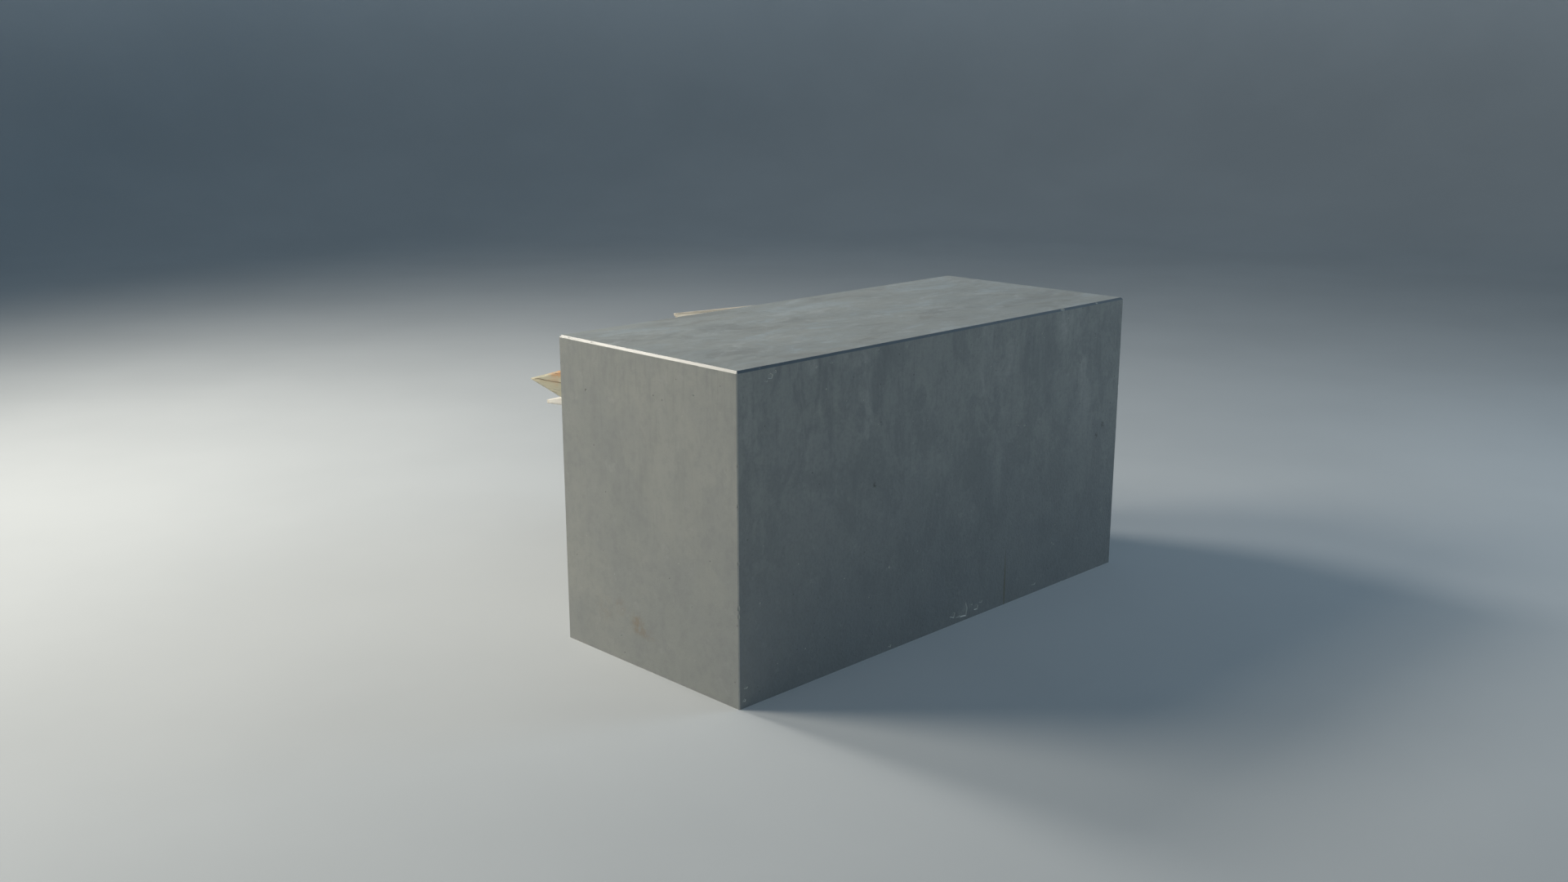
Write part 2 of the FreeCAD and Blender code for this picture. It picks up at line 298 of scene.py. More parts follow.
def speckle(n, colour):
    """Faint mottling, sand grains, and painted shade in small pinholes in the skin."""
    mottle = n.noise(n.at, 34.0, 5.0, 0.65)
    colour = n.mix(n.ramp(mottle, 0.42, 0.70, 0.0, 0.34), colour, (0.268, 0.278, 0.272))
    pale = n.noise(n.stretch(n.at, (1, 1, 1), (2.2, 9.4, 6.6)), 21.0, 6.0, 0.7)
    colour = n.mix(n.ramp(pale, 0.56, 0.74, 0.0, 0.34), colour, (0.450, 0.452, 0.435))
    colour = n.mix(n.ramp(n.sand, 0.56, 0.74, 0.0, 0.30), colour, (0.205, 0.210, 0.208))
    # Painted shade: the pinholes are painted dark.
    return n.layer(colour, n.pinholes, 0.55, (0.110, 0.115, 0.115))


def rust_marks(n, colour):
    """Rust-brown stains low on the left end, and one run near the front foot."""
    stains = (                       # y, z, half width, half height, strength
        (0.051, 0.141, 0.045, 0.050, 0.55),
        (0.005, 0.118, 0.060, 0.025, 0.35),
        (0.133, 0.176, 0.035, 0.040, 0.30),
        (0.210, 0.150, 0.060, 0.060, 0.16),
    )
    ragged = n.ramp(n.noise(n.at, 45.0, 4.0, 0.7), 0.36, 0.62)
    for y, z, half_width, half_height, strength in stains:
        stain = n.spot(n.at, (LEFT, y, z), (STAIN_REACH, half_width, half_height))
        colour = n.layer(colour, n.times(stain, ragged), strength, (0.300, 0.228, 0.140))
    drip = n.spot(n.at, (0.303, FRONT, 0.070), (0.0065, STAIN_REACH, 0.165))
    return n.layer(colour, drip, 0.80, (0.195, 0.180, 0.120))


def dark_spots(n, colour):
    """Three dark spots on the front face."""
    grainy = n.ramp(n.noise(n.at, 160.0, 2.0), 0.38, 0.52)
    for x, z, radius in ((0.820, 0.512, 0.012), (0.858, 0.545, 0.013), (-0.376, 0.563, 0.010)):
        dark = n.spot(n.at, (x, FRONT, z), (radius, STAIN_REACH, radius * 1.3))
        colour = n.layer(colour, n.times(dark, grainy), 0.75, (0.110, 0.110, 0.100))
    return colour


def runs_below_posts(n, colour):
    """Rain has carried rust and tannin down the rear face from the posts' feet."""
    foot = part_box("post_middle")[0].z
    below = n.ramp(n.z, foot - 0.32, foot - 0.01)
    behind = n.ramp(n.ny, 0.8, 0.95)
    streaky = n.ramp(n.fine_runs, 0.30, 0.66)
    for post in POSTS:
        low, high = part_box(post)
        half = (high.x - low.x) / 2
        middle = (low.x + high.x) / 2
        off_middle = n.math("ABSOLUTE", n.math("SUBTRACT", n.x, middle))
        band = n.ramp(off_middle, half * 1.25, half * 0.2)
        mask = n.times(band, below, behind, streaky)
        colour = n.layer(colour, mask, 0.6, (0.190, 0.150, 0.112))
    return colour


def wear_and_painted_light(n, colour):
    """Broken faces are paler, partly as fresh wear and partly as painted highlight; the front top
    chamfer gets a painted dark reflection, and fine hollows on the long sides get painted shade.
    """
    # Paler broken faces: fresh concrete, made paler still as a painted highlight.
    colour = n.layer(colour, n.wear_and_highlight, 0.88, (0.780, 0.775, 0.730))
    # Painted reflection: the front top chamfer is painted dark blue, as if it reflected a darker
    # sky.
    painted_reflection_front_chamfer = n.times(n.polished, n.ramp(n.ny, -0.3, -0.6))
    colour = n.layer(colour, painted_reflection_front_chamfer, 0.75, (0.085, 0.125, 0.170))
    # Painted shade: the hollows of the orange peel on the long sides are darkened.
    painted_peel_shade = n.times(n.ramp(n.peel, 0.56, 0.36), n.long_side)
    return n.layer(colour, painted_peel_shade, 0.16, (0.180, 0.190, 0.190))


def concrete_roughness(n):
    """The trowelled top shines more than the cast sides, and the chamfer most of all."""
    gloss = n.noise(n.stretch(n.at, (3.2, 7.5, 4.0), (1.2, 0.3, 0.8)), 1.3, 7.0, 0.6, 0.8)
    rough = n.ramp(gloss, 0.36, 0.66, 0.50, 0.68)
    rough = n.math("SUBTRACT", rough, n.times(n.level, 0.12))
    rough = n.math("SUBTRACT", rough, n.times(n.painted_sheen_wisps, 0.05))
    rough = n.math("ADD", rough, n.times(n.wear_and_highlight, 0.15))
    return n.math("ADD", n.times(rough, n.unpolished), n.times(n.polished, 0.34))


def concrete_relief(n):
    """Orange peel from the mould, plainest low on the long sides, then sand and pinholes."""
    low_down = n.ramp(n.z, TOP * 0.75, TOP * 0.25, 0.35, 1.0)
    on_sides = n.ramp(n.long_side, 0.0, 1.0, 0.22, 1.0)
    skin = n.bump(n.times(n.peel, low_down, on_sides, n.unpolished), 0.0040, 0.6)
    grain = n.bump(n.times(n.sand, n.unpolished), 0.0004, 0.35, skin)
    pits = n.math("SUBTRACT", 1.0, n.times(n.pinholes, n.unpolished))
    return n.bump(pits, 0.0012, 0.6, grain)


def concrete_material():
    n = ConcreteNodes()
    colour = cast_grey(n)
    colour = water_runs(n, colour)
    colour = trowelled_top(n, colour)
    colour = long_side_tones(n, colour)
    colour = speckle(n, colour)
    colour = rust_marks(n, colour)
    colour = dark_spots(n, colour)
    colour = runs_below_posts(n, colour)
    colour = wear_and_painted_light(n, colour)
    n.wire(colour, n.shader.inputs["Base Color"])
    n.wire(concrete_roughness(n), n.shader.inputs["Roughness"])
    n.wire(concrete_relief(n), n.shader.inputs["Normal"])
    return n.material


# ================================================================ concrete, its shape
def cut_positions(low, high, step):
    count = max(1, round((high - low) / step))
    return [low + (high - low) * k / count for k in range(count + 1)]


def plan_ring(xs, ys):
    """Points round the block's plan, each with its move inwards at the top chamfer."""
    c = TOP_CHAMFER
    a = ARRIS_CHAMFER
    ring = [(RIGHT, FRONT + a, -c, c - a)]
    ring += [(RIGHT, y, -c, 0) for y in ys[1:-1]]
    ring += [(RIGHT, REAR - a, -c, a - c), (RIGHT - a, REAR, a - c, -c)]
    ring += [(x, REAR, 0, -c) for x in reversed(xs[1:-1])]
    ring += [(LEFT + a, REAR, c - a, -c), (LEFT, REAR - a, c, a - c)]
    ring += [(LEFT, y, c, 0) for y in reversed(ys[1:-1])]
    ring += [(LEFT, FRONT + a, c, c - a), (LEFT + a, FRONT, c - a, c)]
    ring += [(x, FRONT, 0, c) for x in xs[1:-1]]
    ring += [(RIGHT - a, FRONT, a - c, c)]
    return ring


def block_body():
    """The block as a closed grid of quads, with its chamfers."""
    xs = cut_positions(LEFT + TOP_CHAMFER, RIGHT - TOP_CHAMFER, GRID)
    ys = cut_positions(FRONT + TOP_CHAMFER, REAR - TOP_CHAMFER, GRID)
    zs = cut_positions(0.0, TOP - TOP_CHAMFER, GRID)
    ring = plan_ring(xs, ys)
    bm = bmesh.new()
    rings = [[bm.verts.new((x, y, z)) for x, y, _, _ in ring] for z in zs]
    rings.append([bm.verts.new((x + dx, y + dy, TOP)) for x, y, dx, dy in ring])
    for lower, upper in zip(rings, rings[1:]):
        for k in range(len(ring)):
            j = (k + 1) % len(ring)
            bm.faces.new((lower[k], lower[j], upper[j], upper[k]))
    bm.faces.new(rings[-1])
    bm.faces.new(list(reversed(rings[0])))
    bmesh.ops.remove_doubles(bm, verts=bm.verts, dist=SAME_POINT)
    bmesh.ops.recalc_face_normals(bm, faces=bm.faces)
    return link_object("concrete_block_cast", mesh_from(bm, "concrete_block_cast"))


def add_lump(bm, centre, radii, rng, jitter=0.16):
    """A rough convex lump, used to break a piece out of the concrete."""
    made = bmesh.ops.create_icosphere(bm, subdivisions=2, radius=1.0)["verts"]
    turn = Vector((rng.uniform(-1, 1), rng.uniform(-1, 1), rng.uniform(-1, 1)))
    for v in made:
        swell = 1.0 + jitter * noise.noise(v.co * 1.7 + turn * 20.0)
        v.co = Vector((v.co.x * radii[0], v.co.y * radii[1], v.co.z * radii[2])) * swell
        v.co += centre


def add_spall(bm, corners, depth, into):
    """A shallow flake: its outline on the face, and a smaller floor below it."""
    middle = sum(corners, Vector()) / len(corners)
    proud = [p - into * 0.001 for p in corners]
    floor = [p + (middle - p).normalized() * depth * 1.7 + into * depth for p in corners]
    top = [bm.verts.new(p) for p in proud]
    low = [bm.verts.new(p) for p in floor]
    count = len(corners)
    bm.faces.new(top)
    bm.faces.new(list(reversed(low)))
    for k in range(count):
        j = (k + 1) % count
        bm.faces.new((top[k], low[k], low[j], top[j]))


def edge_lines():
    """Every outer edge of the block: start, end, outward direction, chips per metre."""
    arris = ARRIS_CHAMFER / 2
    chamfer = TOP_CHAMFER / 2
    xs = (LEFT + EDGE_MARGIN, RIGHT - EDGE_MARGIN)
    ys = (FRONT + EDGE_MARGIN, REAR - EDGE_MARGIN)
    zs = (EDGE_MARGIN, TOP - EDGE_MARGIN)
    lines = []
    for x, sx in ((LEFT, -1), (RIGHT, 1)):
        for y, sy in ((FRONT, -1), (REAR, 1)):
            ends = [Vector((x - sx * arris, y - sy * arris, z)) for z in zs]
            lines.append((*ends, Vector((sx, sy, 0)).normalized(), 7))
    for y, sy in ((FRONT, -1), (REAR, 1)):
        for z, sz, inset, rate in ((0.0, -1, 0.0, 5), (TOP, 1, chamfer, 3)):
            ends = [Vector((x, y - sy * inset, z - sz * inset)) for x in xs]
            lines.append((*ends, Vector((0, sy, sz)).normalized(), rate))
    # The left end's top edge has no random chips: named_damage gives it its own nicks.
    for x, sx, top_rate in ((LEFT, -1, 0), (RIGHT, 1, 3)):
        for z, sz, inset, rate in ((0.0, -1, 0.0, 5), (TOP, 1, chamfer, top_rate)):
            ends = [Vector((x - sx * inset, y, z - sz * inset)) for y in ys]
            lines.append((*ends, Vector((sx, 0, sz)).normalized(), rate))
    return lines


def chip_edges(bm, rng):
    """Small bites along the edges, each longer than it is deep."""
    for start, end, out, rate in edge_lines():
        along = (end - start).normalized()
        for _ in range(round((end - start).length * rate)):
            at = start.lerp(end, rng.random())
            size = min(0.006, 0.0019 * math.exp(rng.gauss(0.0, 0.5)))
            length = size * rng.uniform(1.2, 2.8)
            radii = [size + abs(along[k]) * (length - size) for k in range(3)]
            add_lump(bm, at + out * size * rng.uniform(0.45, 0.75), radii, rng)


def blow_holes(bm, rng):
    """Air bubbles caught against the mould, on the four cast faces."""
    faces = (
        ("y", FRONT, LEFT, RIGHT, 46), ("y", REAR, LEFT, RIGHT, 46),
        ("x", LEFT, FRONT, REAR, 18), ("x", RIGHT, FRONT, REAR, 18),
    )
    for axis, plane, low, high, count in faces:
        for _ in range(count):
            across = rng.uniform(low + 0.03, high - 0.03)
            height = TOP * (0.04 + 0.92 * rng.random())
            radius = min(0.0045, 0.0016 * math.exp(rng.gauss(0.0, 0.45)))
            flat = (across, plane) if axis == "y" else (plane, across)
            add_lump(bm, Vector((*flat, height)), (radius,) * 3, rng, 0.3)


def named_damage(bm, rng):
    """The larger flakes and nicks, each at its own place."""
    into = Vector((0, 1, 0))

    def flake(x, z, outline, size, depth=0.0022):
        corners = []
        for dx, dz in outline:
            shake = Vector((rng.uniform(-0.12, 0.12), 0, rng.uniform(-0.12, 0.12)))
            corners.append(Vector((x, FRONT, z)) + (Vector((dx, 0, dz)) + shake) * size)
        add_spall(bm, corners, depth, into)

    tall = ((-0.80, -0.72), (0.58, -0.95), (0.88, 0.05), (0.42, 1.0), (-0.10, 0.70))
    arrow = ((-1.0, -0.10), (0.15, -0.55), (0.45, 0.25), (-0.15, 0.50))
    shell = ((-0.90, -0.55), (0.70, -0.80), (1.0, 0.35), (0.05, 0.95), (-0.75, 0.55))
    sliver = ((-1.0, -0.20), (0.70, -0.45), (1.10, 0.20), (-0.20, 0.45))
    # The cluster at the front foot.
    flake(0.082, 0.036, tall, 0.027, 0.0030)
    flake(0.030, 0.034, arrow, 0.021)
    flake(0.052, 0.022, sliver, 0.012, 0.0014)
    flake(0.148, 0.030, shell, 0.013)
    flake(0.172, 0.044, sliver, 0.011, 0.0014)
    flake(0.126, 0.047, arrow, 0.008, 0.0012)
    # Single flakes along the foot.
    flake(-0.290, 0.014, arrow, 0.011, 0.0018)
    flake(-0.924, 0.062, sliver, 0.009, 0.0014)
    flake(-0.928, 0.024, arrow, 0.010, 0.0016)
    flake(0.472, 0.032, sliver, 0.012, 0.0014)
    # Along the top of the front face.
    flake(-0.822, 0.968, shell, 0.012, 0.0020)
    flake(-0.800, 0.979, arrow, 0.009, 0.0014)
    flake(-0.838, 0.957, sliver, 0.007, 0.0012)
    flake(-0.635, 0.969, arrow, 0.009, 0.0014)
    flake(-0.573, 0.973, sliver, 0.008, 0.0012)
    flake(-0.424, 0.955, arrow, 0.007, 0.0012)
    flake(-0.371, 0.986, sliver, 0.009, 0.0014)
    flake(-0.235, 0.976, arrow, 0.006, 0.0012)
    flake(0.610, 0.964, sliver, 0.008, 0.0012)
    # Nicks down the front left arris: height, size.
    out = Vector((-1, -1, 0)).normalized()
    arris_nicks = ((0.732, 0.0030), (0.614, 0.0034), (0.445, 0.0038), (0.311, 0.0050),
                   (0.286, 0.0042))
    for z, size in arris_nicks:
        at = Vector((LEFT + 0.002, FRONT + 0.002, z)) + out * size * 0.35
        add_lump(bm, at, (size, size, size * 1.9), rng)
    # Nicks along the left end's top chamfer: place across the block, size.
    inset = TOP_CHAMFER / 2
    for y, size in ((0.356, 0.0026), (0.244, 0.0030), (0.318, 0.0018)):
        at = Vector((LEFT + inset - size * 0.4, y, TOP - inset + size * 0.4))
        add_lump(bm, at, (size, size * 1.5, size), rng)


def mark_wear(mesh):
    """Marks the faces that chips have opened and the upright arris chamfers, where wear and a
    painted highlight go, and the smooth top chamfer.
    """
    wear_and_highlight = []
    polished = []
    slope = math.sqrt(0.5)
    for face in mesh.polygons:
        n = face.normal
        c = face.center
        on_end = abs(n.x) > 0.999 and min(abs(c.x - LEFT), abs(c.x - RIGHT)) < 1e-5
        on_side = abs(n.y) > 0.999 and min(abs(c.y - FRONT), abs(c.y - REAR)) < 1e-5
        on_level = abs(n.z) > 0.999 and min(abs(c.z - TOP), abs(c.z)) < 1e-5
        on_chamfer = abs(n.z - slope) < 0.002 and c.z > TOP - TOP_CHAMFER
        on_arris = abs(n.z) < 0.001 and abs(abs(n.x) - abs(n.y)) < 0.002
        floor_of_flake = abs(n.y) > 0.985
        on_front = c.y < FRONT + 0.004 and 0.008 < c.z < TOP - 0.012 and abs(c.x) < RIGHT - 0.008
        # The upright arris chamfers get a painted highlight line, not wear.
        if on_arris:
            wear_and_highlight.append(0.38)
        elif on_end or on_side or on_level or on_chamfer:
            wear_and_highlight.append(0.0)
        elif floor_of_flake:
            wear_and_highlight.append(0.08)
        else:
            wear_and_highlight.append(1.0 if on_front else 0.45)
        polished.append(1.0 if on_chamfer else 0.0)
    for name, values in (("wear_and_highlight", wear_and_highlight), ("polished", polished)):
        layer = mesh.attributes.new(name, "FLOAT", "FACE")
        layer.data.foreach_set("value", values)


def concrete_block():
    """Cuts the chips, flakes and blow holes out of the block, all at once."""
    rng = random.Random(41)
    block = block_body()
    bm = bmesh.new()
    chip_edges(bm, rng)
    blow_holes(bm, rng)
    named_damage(bm, rng)
    bmesh.ops.recalc_face_normals(bm, faces=bm.faces)
    cutter = link_object("concrete_cutter", mesh_from(bm, "concrete_cutter"))
    cut = block.modifiers.new("chips", "BOOLEAN")
    cut.operation = "DIFFERENCE"
    cut.solver = "EXACT"
    cut.use_self = True
    cut.object = cutter
    graph = bpy.context.evaluated_depsgraph_get()
    chipped = bpy.data.meshes.new_from_object(block.evaluated_get(graph))
    block.modifiers.clear()
    block.data = chipped
    bpy.data.objects.remove(cutter)
    mark_wear(block.data)
    finish_piece(block, "concrete_block", concrete_material())


# ================================================================ timber
def stake_marks(n, colour):
    """A resin patch and a dark grain line, both near the left upper stake's point."""
    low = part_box("stake_left_upper")[0]
    place = n.place()
    _, y, z = n.split(place)
    ragged = n.ramp(n.noise(n.stretch(place, (60, 25, 90)), 1.0, 4.0, 0.6), 0.33, 0.46)
    resin = n.spot(place, (low.x, 0.850, 0.780), (0.045, 0.095, 0.042))
    colour = n.layer(colour, n.times(resin, ragged), 0.95, (0.610, 0.350, 0.185))
    # The line follows the board, which drops a little towards its point.
    drop = n.times(n.math("SUBTRACT", 0.90, y), 0.045)
    level = n.math("SUBTRACT", z, drop)
    wave = n.times(n.noise(n.stretch(place, (1, 22, 1)), 1.0, 3.0), 0.006)
    off_line = n.math("ABSOLUTE", n.math("SUBTRACT", n.math("ADD", level, wave), 0.7385))
    on_board = n.spot(place, (low.x, 0.885, 0.736), (0.035, 0.110, 0.030))
    line = n.times(n.ramp(off_line, 0.0028, 0.0008), n.ramp(on_board, 0.0, 0.35))
    return n.layer(colour, line, 0.8, (0.170, 0.125, 0.080))


def wood_material(name, early, late, grey, weathering, orange, marked=False):
    """Softwood: growth rings about the pith, fibres along the grain, weathering."""
    n = Nodes(name)
    grain = n.attribute("grain", "Vector")
    cut = n.attribute("cut")
    wander = n.noise(n.stretch(grain, (2.2, 16, 16)), 1.0, 3.0, 0.5)
    from_pith = n.length(n.stretch(grain, (0, 1, 1)))
    radius = n.math("ADD", from_pith, n.times(wander, 0.017))
    ring = n.math("FRACT", n.math("DIVIDE", radius, RING_WIDTH))
    late_wood = n.times(n.ramp(ring, 0.45, 0.92), n.ramp(ring, 1.0, 0.95))
    colour = n.layer(early, late_wood, 0.62, late)
    fibre = n.noise(n.stretch(grain, (9, 620, 620)), 1.0, 3.0, 0.6)
    colour = n.mix(n.ramp(fibre, 0.44, 0.72, 0.0, 0.42), colour, late)
    tone = n.noise(n.stretch(grain, (3.5, 20, 20), (0.4, 0.9, 1.7)), 1.0, 5.0, 0.6)
    colour = n.mix(n.ramp(tone, 0.38, 0.68, 0.0, weathering), colour, grey)
    patch = n.noise(n.stretch(grain, (6.5, 24, 24), (8.2, 3.3, 5.1)), 1.0, 4.0, 0.55, 0.5)
    colour = n.mix(n.ramp(patch, 0.58, 0.68, 0.0, orange), colour, (0.520, 0.340, 0.200))
    if marked:
        colour = stake_marks(n, colour)
    # Knots, a few to a board.
    knot = n.cells(n.stretch(grain, (4.5, 11, 11), (2.9, 0.6, 4.4)), 1.0)
    colour = n.mix(n.ramp(knot, 0.150, 0.085, 0.0, 0.75), colour, (0.210, 0.125, 0.070))
    # Drying splits along the grain, with painted shade inside them.
    split = n.noise(n.stretch(grain, (2.6, 130, 130), (1.1, 7.7, 2.3)), 1.0, 2.0, 0.5)
    near_middle = n.math("ABSOLUTE", n.math("SUBTRACT", split, 0.5))
    some = n.noise(n.stretch(grain, (5, 30, 30), (6.1, 2.2, 0.4)), 1.0, 2.0)
    splits = n.times(n.ramp(near_middle, 0.014, 0.004), n.ramp(some, 0.54, 0.62))
    colour = n.layer(colour, splits, 0.8, (0.060, 0.045, 0.032))
    # The sawn points are fresher wood than the faces.
    fresh = n.layer((0.700, 0.640, 0.520), late_wood, 0.40, late)
    colour = n.layer(colour, cut, 0.45, fresh)
    n.wire(colour, n.shader.inputs["Base Color"])
    n.wire(n.ramp(fibre, 0.35, 0.70, 0.66, 0.86), n.shader.inputs["Roughness"])
    n.shader.inputs["Specular IOR Level"].default_value = 0.35
    relief = n.math("ADD", n.times(late_wood, 0.6), fibre)
    relief = n.math("SUBTRACT", relief, n.times(splits, 2.0))
    n.wire(n.bump(relief, 0.0006, 0.7), n.shader.inputs["Normal"])
    return n.material


def slice_mesh(bm, direction, step):
    """Cuts a closed mesh with evenly spaced planes across one direction."""
    reach = [v.co.dot(direction) for v in bm.verts]
    low, high = min(reach), max(reach)
    count = int((high - low) / step)
    for k in range(1, count + 1):
        at = direction * (low + (high - low) * (k - 0.5) / count)
        geometry = bm.verts[:] + bm.edges[:] + bm.faces[:]
        bmesh.ops.bisect_plane(bm, geom=geometry, dist=SAME_POINT, plane_co=at,
                               plane_no=direction)


def board_axis(bm, low, high):
    """Which way a stake runs: along its top edge, near the butt."""
    tree = BVHTree.FromBMesh(bm)
    middle = (low.x + high.x) / 2
    tops = []
    for y in (low.y + 0.06, low.y + 0.18):
        tops.append(tree.ray_cast(Vector((middle, y, high.z + 1)), -UP)[0])
    return (tops[1] - tops[0]).normalized()


def roughen(bm, axis, across, depth, offset):
    """Draws the faces in by a fraction of a millimetre, as sawn and weathered wood is."""
    bm.normal_update()
    on_edge = set()
    for edge in bm.edges:
        if len(edge.link_faces) == 2 and edge.calc_face_angle(0.0) > math.radians(25):
            on_edge.update(edge.verts)
    moves = []
    for v in bm.verts:
        u, a, b = v.co.dot(axis), v.co.dot(across), v.co.dot(depth)
        fine = noise.noise(Vector((u * 5, a * 210, b * 210)) + offset)
        broad = noise.noise(Vector((u * 2.2, a * 42, b * 42)) + offset)
        split = noise.noise(Vector((u * 1.9, a * 75, b * 75)) - offset)
        gate = noise.noise(Vector((u * 4, a * 20, b * 20)) + offset * 2)
        draw = SKIN_LOSS + 0.00013 * fine + 0.00022 * broad
        if gate > 0.12 and abs(split) < 0.07:
            draw += SPLIT_DEPTH
        if v in on_edge:
            rub = 0.5 + noise.noise(Vector((u * 26, a * 26, b * 26)) + offset)
            draw += EDGE_RUB * max(0.0, rub)
        moves.append((v, v.normal.copy() * max(0.0, draw)))
    for v, move in moves:
        v.co -= move


def mark_sawn_faces(bm, axis):
    """Marks the faces that cut across the grain, and faintly those that face up."""
    sawn = bm.faces.layers.float.new("cut")
    for face in bm.faces:
        if abs(face.normal.dot(axis)) <= 0.02:
            face[sawn] = 0.0
        elif face.normal.z > 0.02:
            face[sawn] = 0.15
        else:
            face[sawn] = 1.0


def add_grain(mesh, middle, axis, across, depth, pith, start):
    """Gives each point its place along the grain and from the pith."""
    places = []
    for v in mesh.vertices:
        p = v.co - middle
        places += (p.dot(axis) + start, p.dot(across) + pith[0], p.dot(depth) + pith[1])
    layer = mesh.attributes.new("grain", "FLOAT_VECTOR", "POINT")
    layer.data.foreach_set("vector", places)


def timber(node, material, rng, axis=None):
    """A post or a stake: the CAD solid, cut into fine strips and roughened."""
    low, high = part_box(node)
    bm = bmesh.new()
    bm.from_mesh(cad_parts[node].data)
    bmesh.ops.remove_doubles(bm, verts=bm.verts, dist=SAME_POINT)
    if axis is None:
        axis = board_axis(bm, low, high)
    depth = Vector((1, 0, 0))
    across = axis.cross(depth).normalized()
    slice_mesh(bm, axis, STEP_ALONG)
    slice_mesh(bm, across, STEP_ACROSS)
    slice_mesh(bm, depth, STEP_DEEP)
    bm.normal_update()
    mark_sawn_faces(bm, axis)
    offset = Vector((rng.uniform(0, 40), rng.uniform(0, 40), rng.uniform(0, 40)))
    roughen(bm, axis, across, depth, offset)
    pith = (rng.uniform(-0.03, 0.03), rng.choice((-1, 1)) * rng.uniform(0.03, 0.08))
    mesh = mesh_from(bm, node + "_timber")
    add_grain(mesh, (low + high) / 2, axis, across, depth, pith, rng.uniform(0, 30))
    smooth_shading(mesh)
    finish_piece(link_object(node + "_timber", mesh), node, material)


def all_timber():
    rng = random.Random(7)
    post_wood = wood_material("post_softwood", (0.500, 0.420, 0.300), (0.300, 0.220, 0.140),
                              (0.330, 0.315, 0.280), 0.70, 0.15)
    yellow_wood = wood_material("stake_softwood", (0.660, 0.615, 0.460), (0.470, 0.405, 0.270),
                                (0.440, 0.435, 0.345), 0.60, 0.50, marked=True)
    grey_wood = wood_material("grey_stake_softwood", (0.580, 0.560, 0.500), (0.440, 0.405, 0.345),
                              (0.360, 0.345, 0.320), 0.75, 0.0)
    # Pale wood, painted paler still as if lit by sunlight.
    sunlit_pale_wood = wood_material("sunlit_pale_stake_softwood", (0.880, 0.850, 0.790), (0.720, 0.665, 0.570),
                              (0.640, 0.620, 0.570), 0.45, 0.10)
    for post in POSTS:
        timber(post, post_wood, rng, UP)
    for stake in ("stake_left_upper", "stake_middle_lower"):
        timber(stake, yellow_wood, rng)
    for stake in ("stake_middle_upper", "stake_right_upper"):
        timber(stake, grey_wood, rng)
    for stake in ("stake_left_lower", "stake_right_lower"):
        timber(stake, sunlit_pale_wood, rng)


# ================================================================ steel
def zinc_material():
    """Dull zinc with a fine spangle, and rust where it has gone."""
    n = Nodes("weathered_zinc")
    place = n.place()
    spangle = n.cells(place, 260.0)
    cloud = n.noise(place, 38.0, 5.0, 0.6)
    colour = n.mix(n.ramp(spangle, 0.1, 0.7), (0.430, 0.445, 0.460), (0.560, 0.570, 0.580))
    colour = n.mix(n.ramp(cloud, 0.40, 0.70, 0.0, 0.6), colour, (0.330, 0.335, 0.335))
    rust = n.noise(n.stretch(place, (1, 1, 0.7), (3.0, 1.0, 2.0)), 95.0, 6.0, 0.7)
    rusty = n.ramp(rust, 0.57, 0.66)
    colour = n.mix(rusty, colour, (0.230, 0.105, 0.045))
    rough = n.math("ADD", n.ramp(cloud, 0.35, 0.70, 0.38, 0.60), n.times(rusty, 0.3))
    n.wire(colour, n.shader.inputs["Base Color"])
    n.wire(n.ramp(rusty, 0.0, 1.0, 0.9, 0.0), n.shader.inputs["Metallic"])
    n.wire(rough, n.shader.inputs["Roughness"])
    n.wire(n.bump(n.math("ADD", cloud, rusty), 0.0004, 0.5), n.shader.inputs["Normal"])
    return n.material


def rebar_material():
    """Dark mill scale with a brown bloom."""
    n = Nodes("mill_scale_steel")
    cloud = n.noise(n.place(), 30.0, 6.0, 0.65)
    colour = n.mix(n.ramp(cloud, 0.38, 0.66), (0.075, 0.070, 0.068), (0.210, 0.095, 0.045))
    n.wire(colour, n.shader.inputs["Base Color"])
    n.wire(n.ramp(cloud, 0.35, 0.70, 0.55, 0.85), n.shader.inputs["Roughness"])
    n.shader.inputs["Metallic"].default_value = 0.3
    n.wire(n.bump(cloud, 0.0005, 0.6), n.shader.inputs["Normal"])
    return n.material


def merged_bolts(material):
    """The stake bolts again, without the empty face at the tip of each domed head."""
    bm = bmesh.new()
    bm.from_mesh(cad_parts["stake_bolts"].data)
    bmesh.ops.remove_doubles(bm, verts=bm.verts, dist=SAME_POINT / 10)
    mesh = mesh_from(bm, "stake_bolts_merged")
    smooth_shading(mesh)
    bolts = link_object("stake_bolts_merged", mesh)
    finish_piece(bolts, "stake_bolts", material)


def steelwork():
    zinc = zinc_material()
    rebar = rebar_material()
    merged_bolts(zinc)
    for node in ("cast_in_sockets", "post_bolts", "plate_washers", "stake_washers", "stake_nuts"):
        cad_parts[node].material_slots[0].material = zinc
    for node in ("corner_bars", "side_bars", "stirrups"):
        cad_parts[node].material_slots[0].material = rebar


# ================================================================ stage
def floor_material():
    """A pale floor, whose turned-up rim glows faintly like a lit studio wall."""
    n = Nodes("pale_floor")
    place = n.place()
    tone = n.noise(place, 0.8, 4.0, 0.5)
    colour = n.mix(n.ramp(tone, 0.3, 0.7), (0.565, 0.595, 0.620), (0.595, 0.625, 0.650))
    height = n.split(place)[2]
    n.wire(colour, n.shader.inputs["Base Color"])
    n.shader.inputs["Roughness"].default_value = 0.85
    n.shader.inputs["Emission Color"].default_value = (0.66, 0.83, 0.96, 1.0)
    n.wire(n.ramp(height, 0.8, 5.0, 0.0, 0.11), n.shader.inputs["Emission Strength"])
    return n.material


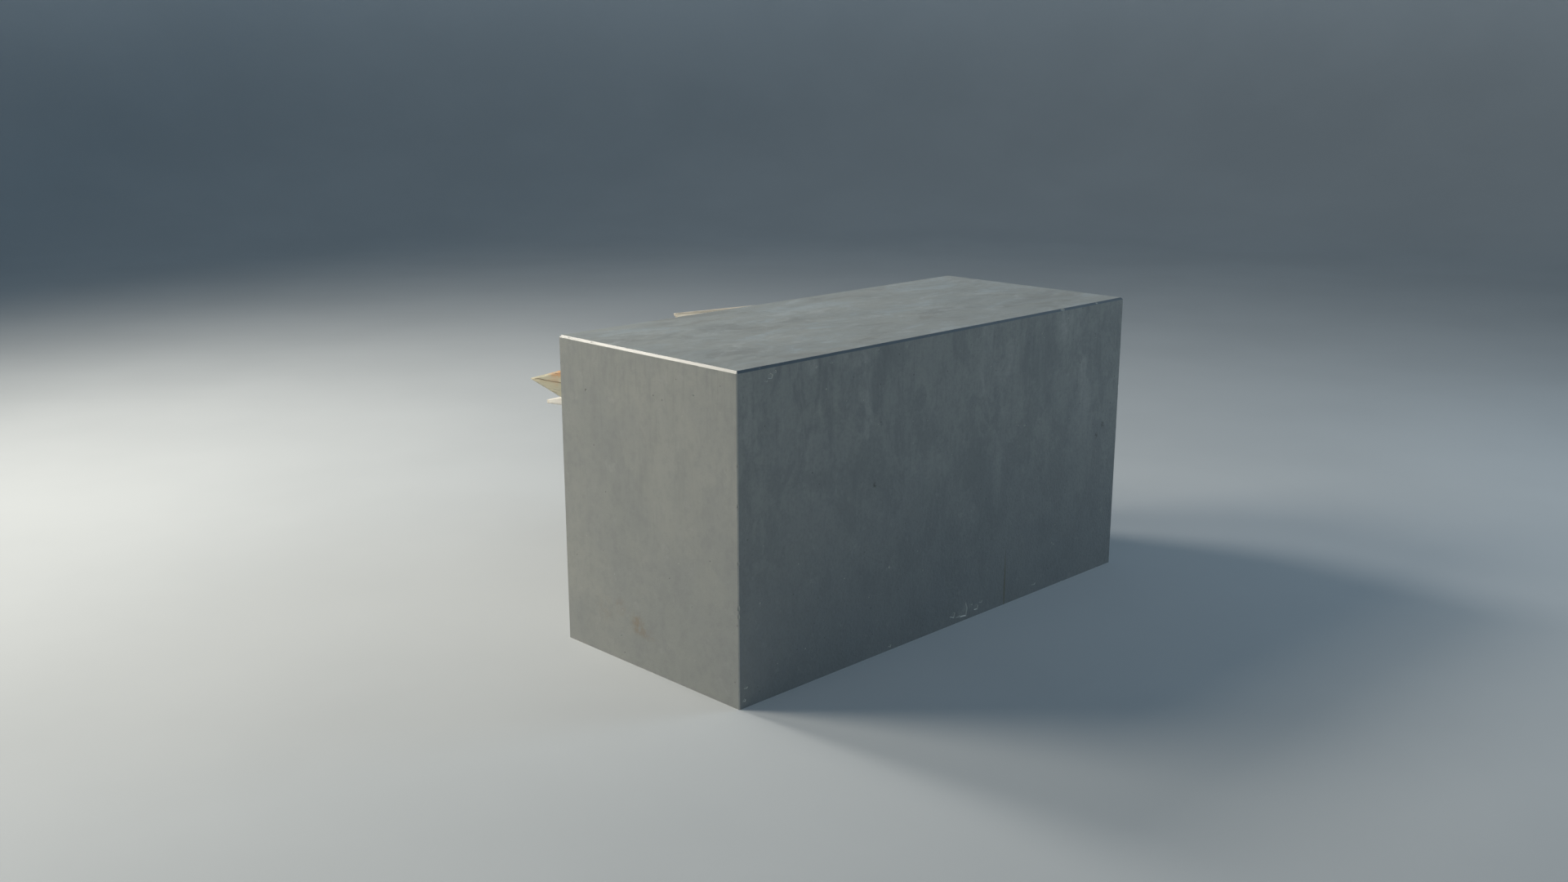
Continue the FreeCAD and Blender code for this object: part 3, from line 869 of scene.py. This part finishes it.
def studio_floor():
    """A flat round floor whose rim turns up into a plain wall."""
    flat, bend, wall = 11.0, 5.0, 8.0
    count = 72
    profile = [(flat * k / 8, 0.0) for k in range(1, 9)]
    for k in range(1, 11):
        a = math.radians(9 * k)
        profile.append((flat + bend * math.sin(a), bend * (1 - math.cos(a))))
    profile.append((flat + bend, bend + wall))
    bm = bmesh.new()
    rings = []
    for r, z in profile:
        turns = [math.tau * k / count for k in range(count)]
        rings.append([bm.verts.new((r * math.cos(t), r * math.sin(t), z)) for t in turns])
    hub = bm.verts.new((0, 0, 0))
    for k in range(count):
        bm.faces.new((hub, rings[0][k], rings[0][(k + 1) % count]))
    for inner, outer in zip(rings, rings[1:]):
        for k in range(count):
            j = (k + 1) % count
            bm.faces.new((inner[k], outer[k], outer[j], inner[j]))
    for face in bm.faces:
        face.smooth = True
    floor = link_object("studio_floor", mesh_from(bm, "studio_floor"))
    floor.data.materials.append(floor_material())


def area_light(name, place, size, power, colour):
    """A round soft light that points at the middle of the block."""
    light = bpy.data.lights.new(name, "AREA")
    light.shape = "DISK"
    light.size = size
    light.energy = power
    light.color = colour
    obj = link_object(name, light)
    obj.location = place
    aim = Vector((0.0, 0.0, 0.5))
    obj.rotation_euler = (aim - Vector(place)).to_track_quat("-Z", "Y").to_euler()


def lights():
    area_light("key", (-3.8, 3.9, 4.4), 2.4, 226.0, (1.0, 0.92, 0.78))
    area_light("rim", (-1.3, 5.2, 4.9), 1.4, 185.0, (1.0, 0.95, 0.86))
    area_light("left_fill", (-5.5, -0.4, 1.9), 3.0, 14.0, (1.0, 0.96, 0.88))
    area_light("sky_fill", (4.3, -3.4, 3.8), 2.6, 66.0, (0.68, 0.84, 0.97))
    world = bpy.data.worlds.new("studio_air")
    world.use_nodes = True
    air = world.node_tree.nodes["Background"]
    air.inputs["Color"].default_value = (0.42, 0.72, 0.98, 1.0)
    air.inputs["Strength"].default_value = 0.11
    bpy.context.scene.world = world


def camera():
    tilt_down = 14.106
    turn_right = 44.78
    data = bpy.data.cameras.new("camera")
    data.sensor_width = 36.0
    data.lens = 34.92
    data.clip_end = 200.0
    obj = link_object("camera", data)
    obj.location = (-3.736, -3.396, 1.831)
    obj.rotation_euler = (math.radians(90.0 - tilt_down), 0.0, math.radians(-turn_right))
    bpy.context.scene.camera = obj


camera()
lights()
studio_floor()
concrete_block()
all_timber()
steelwork()

bpy.context.scene.view_settings.view_transform = "Standard"
